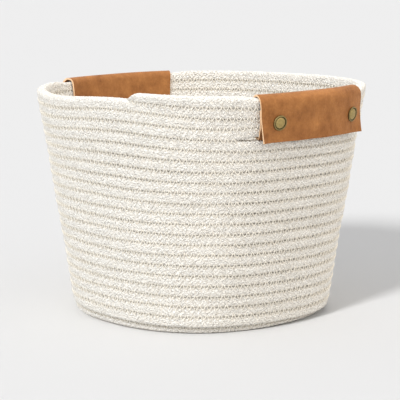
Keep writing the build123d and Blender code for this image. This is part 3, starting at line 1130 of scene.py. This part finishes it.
def leather_wrap(name, side):
    """The folded leather as one sheet with thickness, cut edges and a slight unevenness."""
    grip = settings()[2]
    verts, faces = [], []
    for along in np.linspace(-grip.wrap_half, grip.wrap_half, WRAP_COLUMNS).tolist():
        gap = abs(along) - RIVET_ALONG
        if gap > 0:
            opening = float(smooth(0.003, 0.018, gap))
        else:
            opening = 0.25 * float(smooth(0.006, 0.04, -gap))
        section = rounded(leaf_section(opening), 3)
        rows = len(section)
        origin, outside, upward = grip_frame(side, along)
        ahead = grip_frame(side, along + 0.001)[0] - grip_frame(side, along - 0.001)[0]
        ahead.normalize()
        uneven_cut = CUT_WAVES * noise.noise(Vector((along * 60, side * 9.0, 1.0)))
        for row, (out, up) in enumerate(section):
            waviness = noise.noise(Vector((along * 26 + 5 * side, row * 0.09, 3.7)))
            ripple = LEAF_WAVES * waviness * (1.6 if row < OUTER_ROWS else 1.0)
            trim = uneven_cut if row in (0, rows - 1) else 0
            askew = ahead * (-side * grip.askew * up)
            verts.append(origin + outside * (out + ripple) + upward * (up + trim) + askew)
    for column in range(WRAP_COLUMNS - 1):
        for row in range(rows - 1):
            a = column * rows + row
            corner = (a, a + rows, a + rows + 1, a + 1)
            faces.append(corner if side > 0 else corner[::-1])
    mesh = bpy.data.meshes.new(name)
    mesh.from_pydata(verts, [], faces)
    mesh.materials.append(material_named("grained_leather"))
    mesh.materials.append(material_named("cut_leather"))
    mesh.shade_smooth()
    piece = bpy.data.objects.new(name, mesh)
    bpy.context.scene.collection.objects.link(piece)
    shell = piece.modifiers.new("thickness", "SOLIDIFY")
    shell.thickness = grip.leather_thickness
    shell.offset = 0
    shell.use_even_offset = True
    shell.material_offset_rim = 1
    bevel = piece.modifiers.new("edge", "BEVEL")
    bevel.width = grip.edge_bevel
    bevel.segments = 2
    bevel.limit_method = "ANGLE"
    bevel.angle_limit = radians(50)
    bevel.harden_normals = True
    return piece


def rivet_profile():
    """(radius, height, darkening) points of a cap, from its seat round the lip to its middle: patina in the
    groove, and painted shade under the seat and on the rolled lip, heavier on its sides than on its top.
    """
    return [
        # Painted shade under the seat and on the rolled lip, heavier on the lip's sides than on its top;
        # patina in the groove.
        (0.0030, 0.0000, 1.0), (0.0062, 0.0000, 1.0), (0.0066, 0.0002, 1.0),
        (0.00675, 0.0007, 0.8), (0.0066, 0.0012, 0.6), (0.0063, 0.00150, 0.35),
        (0.0059, 0.00160, 0.5), (0.0055, 0.00145, 0.85),
        (0.0053, 0.0010, 1.0), (0.0050, 0.0008, 1.0), (0.0048, 0.00100, 0.6),
        (0.0045, 0.00125, 0.05),
        (0.0036, 0.0014, 0.0), (0.0022, 0.00150, 0.1), (0.0010, 0.00154, 0.0),
    ]


def rivet_cap(name, side, along):
    """A round brass cap: a rolled lip darkened with painted shade, a groove darkened with patina, and a
    slightly domed, hammered face.
    """
    grip = settings()[2]
    origin, outside, upward = grip_frame(side, along)
    leaf_face = LEAF_OUTER + grip.leather_thickness / 2
    seat = origin + outside * leaf_face + upward * RIVET_HEIGHT
    across = outside.cross(upward).normalized()
    spokes, face_radius = 40, 0.0047
    profile = rivet_profile()
    verts, darkening, faces = [], [], []
    for radius, height, darkness in profile:
        radius *= grip.rivet_scale
        for spoke in range(spokes):
            angle = 2 * pi * spoke / spokes
            x, y = radius * cos(angle), radius * sin(angle)
            dent = 0.0
            if radius < face_radius:
                place = Vector((x * DENTS, y * DENTS, along * 90 + side))
                dent = DENT_DEPTH * noise.noise(place)
            verts.append(seat + across * x + upward * y + outside * (height + dent))
            darkening.append(darkness)
    top, bottom = len(verts), len(verts) + 1
    verts += [seat + outside * profile[-1][1], seat + outside * 0.0001]
    darkening += [0.0, 1.0]
    for ring in range(len(profile) - 1):
        for spoke in range(spokes):
            a, b = ring * spokes + spoke, ring * spokes + (spoke + 1) % spokes
            faces.append((a, b, b + spokes, a + spokes))
    last = (len(profile) - 1) * spokes
    for spoke in range(spokes):
        follow = (spoke + 1) % spokes
        faces.append((last + spoke, last + follow, top))
        faces.append((follow, spoke, bottom))
    mesh = bpy.data.meshes.new(name)
    mesh.from_pydata(verts, [], faces)
    attribute(mesh, "darkening", "FLOAT", darkening)
    mesh.materials.append(material_named("antique_brass"))
    mesh.shade_smooth()
    face_out(mesh)
    piece = bpy.data.objects.new(name, mesh)
    bpy.context.scene.collection.objects.link(piece)
    return piece


def face_out(mesh):
    """Turns a closed mesh's faces outwards."""
    work = bmesh.new()
    work.from_mesh(mesh)
    bmesh.ops.recalc_face_normals(work, faces=work.faces)
    work.to_mesh(mesh)
    work.free()


class BIN_OT_leather(bpy.types.Operator):
    """Fold the leather wraps round the two grips"""

    bl_idname = "rope_bin.leather"
    bl_label = "Wrap the grips"

    def execute(self, context):
        for label, side in SIDES.items():
            wrap = leather_wrap(f"leather_{label}", side)
            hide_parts(f"leather_wrap_{label}")
            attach(wrap, f"grip_{label}")
        return {"FINISHED"}


class BIN_OT_rivets(bpy.types.Operator):
    """Set the brass caps, and give the studs behind them their brass"""

    bl_idname = "rope_bin.rivets"
    bl_label = "Set the rivets"

    def execute(self, context):
        for label, side in SIDES.items():
            for end, way in (("front", -1), ("back", 1)):
                cap = rivet_cap(f"rivet_{end}_{label}", side, way * RIVET_ALONG)
                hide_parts(f"cap_{end}_{label}")
                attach(cap, f"grip_{label}")
                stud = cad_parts[f"stud_{end}_{label}"]
                for slot in stud.material_slots:
                    slot.material = material_named("antique_brass")
        return {"FINISHED"}


# ------------------------------------------------------------
# Stage
# ------------------------------------------------------------

class BIN_OT_stage(bpy.types.Operator):
    """Lay the pale floor, set the lights and place the camera"""

    bl_idname = "rope_bin.stage"
    bl_label = "Set the stage"

    def execute(self, context):
        stage = settings()[3]
        scene = context.scene
        scene.view_settings.view_transform = "Standard"
        floor = self.floor(stage)
        scene.world = self.sky(stage)
        floor_only = self.light_group("floor_light", floor, "INCLUDE")
        bin_only = self.light_group("object_light", floor, "EXCLUDE")
        cool, white, warm = (0.94, 1.0, 1.06), (1, 1, 1), (1.0, 0.955, 0.89)
        key = degrees(stage.azimuth - stage.key_turn)
        camera = degrees(stage.azimuth)
        # name, strength, azimuth, elevation and spread in degrees, what it lights, colour
        for lamp in (
            ("floor_key", stage.floor_key, key, degrees(stage.key_height), 10, floor_only, white),
            ("object_key", stage.object_key, key - 16, 38, 32, bin_only, cool),
            ("object_top", stage.object_top, key, 72, 60, bin_only, white),
            ("object_back", stage.object_back, camera + 180, 35, 100, bin_only, white),
            ("object_fill", stage.object_fill, camera + 52, 50, 100, bin_only, warm),
        ):
            self.sun(*lamp)
        self.camera(stage, scene)
        return {"FINISHED"}

    def floor(self, stage):
        """A wide sheet of matte paper under the bin."""
        material, nodes, shader = new_material("floor_paper")
        shader.inputs["Base Color"].default_value = (*stage.floor, 1)
        shader.inputs["Roughness"].default_value = 0.9
        shader.inputs["Specular IOR Level"].default_value = 0.1
        grain = noise_at(nodes, nodes.add("ShaderNodeTexCoord").outputs["Object"], 40.0)
        bumped(nodes, shader, grain, 0.02, 0.0005)
        size = 40.0
        mesh = bpy.data.meshes.new("floor")
        corners = [(-size, -size, 0), (size, -size, 0), (size, size, 0), (-size, size, 0)]
        mesh.from_pydata(corners, [], [(0, 1, 2, 3)])
        mesh.materials.append(material)
        floor = bpy.data.objects.new("floor", mesh)
        bpy.context.scene.collection.objects.link(floor)
        return floor

    def sky(self, stage):
        """An even studio light all round, a little warmer and brighter towards the horizon."""
        world = bpy.data.worlds.new("soft_box")
        world.use_nodes = True
        sky = Tree(world.node_tree)
        sky.tree.nodes.clear()
        way = sky.add("ShaderNodeTexCoord").outputs["Generated"]
        height = sky.add("ShaderNodeSeparateXYZ", {"Vector": way}).outputs["Z"]
        colour = mixed(sky, ranged(sky, height, 0.0, 1.0), (1.0, 0.985, 0.96), (0.60, 0.605, 0.62))
        light = sky.add("ShaderNodeBackground", {"Color": colour, "Strength": stage.sky})
        output = sky.add("ShaderNodeOutputWorld")
        sky.feed(output.inputs["Surface"], light.outputs[0])
        return world

    def light_group(self, name, floor, state):
        """A collection that says whether a lamp lights the floor only, or all but the floor."""
        group = bpy.data.collections.new(name)
        group.objects.link(floor)
        group.collection_objects[0].light_linking.link_state = state
        return group

    def sun(self, name, strength, azimuth, elevation, spread, receivers, colour):
        """A sun that shines from an azimuth (0 is the front, 90 the right) and an elevation."""
        data = bpy.data.lights.new(name, "SUN")
        data.energy = strength
        data.angle = radians(spread)
        data.color = colour
        lamp = bpy.data.objects.new(name, data)
        azimuth, elevation = radians(azimuth), radians(elevation)
        level = cos(elevation)
        source = Vector((sin(azimuth) * level, -cos(azimuth) * level, sin(elevation)))
        lamp.location = source * 2
        lamp.rotation_euler = source.to_track_quat("Z", "Y").to_euler()
        lamp.light_linking.receiver_collection = receivers
        bpy.context.scene.collection.objects.link(lamp)

    def camera(self, stage, scene):
        """The camera, level with the floor's horizon apart from a slight roll."""
        azimuth, pitch = stage.azimuth, stage.pitch
        distance = stage.distance
        place = Vector((sin(azimuth) * distance, -cos(azimuth) * distance, stage.height))
        ahead = Vector((-sin(azimuth) * cos(pitch), cos(azimuth) * cos(pitch), -sin(pitch)))
        right = Vector((cos(azimuth), sin(azimuth), 0))
        up = right.cross(ahead)
        turned = Matrix((right, up, -ahead)).transposed()
        data = bpy.data.cameras.new("camera")
        data.sensor_width = 36.0
        data.lens = stage.lens
        data.clip_end = 100.0
        camera = bpy.data.objects.new("camera", data)
        roll = Matrix.Rotation(stage.roll, 3, "Z")
        camera.matrix_world = Matrix.Translation(place) @ (turned @ roll).to_4x4()
        scene.collection.objects.link(camera)
        scene.camera = camera


class BIN_PT_panel(bpy.types.Panel):
    """Lists the bin's settings and its building steps"""

    bl_idname = "BIN_PT_panel"
    bl_label = "Rope storage bin"
    bl_space_type = "VIEW_3D"
    bl_region_type = "UI"
    bl_category = "Rope Bin"

    def draw(self, context):
        for group, operators in (
            (context.scene.bin_rope, [BIN_OT_rope]),
            (context.scene.bin_stitch, [BIN_OT_stitches]),
            (context.scene.bin_grip, [BIN_OT_leather, BIN_OT_rivets]),
            (context.scene.bin_stage, [BIN_OT_stage]),
        ):
            box = self.layout.box()
            for name in group.bl_rna.properties.keys():
                if name not in ("rna_type", "name"):
                    box.prop(group, name)
            for operator in operators:
                box.operator(operator.bl_idname)


CLASSES = [RopeSettings, StitchSettings, GripSettings, StageSettings, BIN_OT_rope, BIN_OT_stitches,
           BIN_OT_leather, BIN_OT_rivets, BIN_OT_stage, BIN_PT_panel]
GROUPS = {"bin_rope": RopeSettings, "bin_stitch": StitchSettings, "bin_grip": GripSettings,
          "bin_stage": StageSettings}


def register():
    for each in CLASSES:
        bpy.utils.register_class(each)
    for name, group in GROUPS.items():
        setattr(bpy.types.Scene, name, PointerProperty(type=group))


def unregister():
    for name in GROUPS:
        delattr(bpy.types.Scene, name)
    for each in reversed(CLASSES):
        bpy.utils.unregister_class(each)


def main():
    """Builds every piece."""
    register()
    bpy.ops.rope_bin.rope()
    bpy.ops.rope_bin.stitches()
    bpy.ops.rope_bin.leather()
    bpy.ops.rope_bin.rivets()
    bpy.ops.rope_bin.stage()


if __name__ == "__main__":
    main()
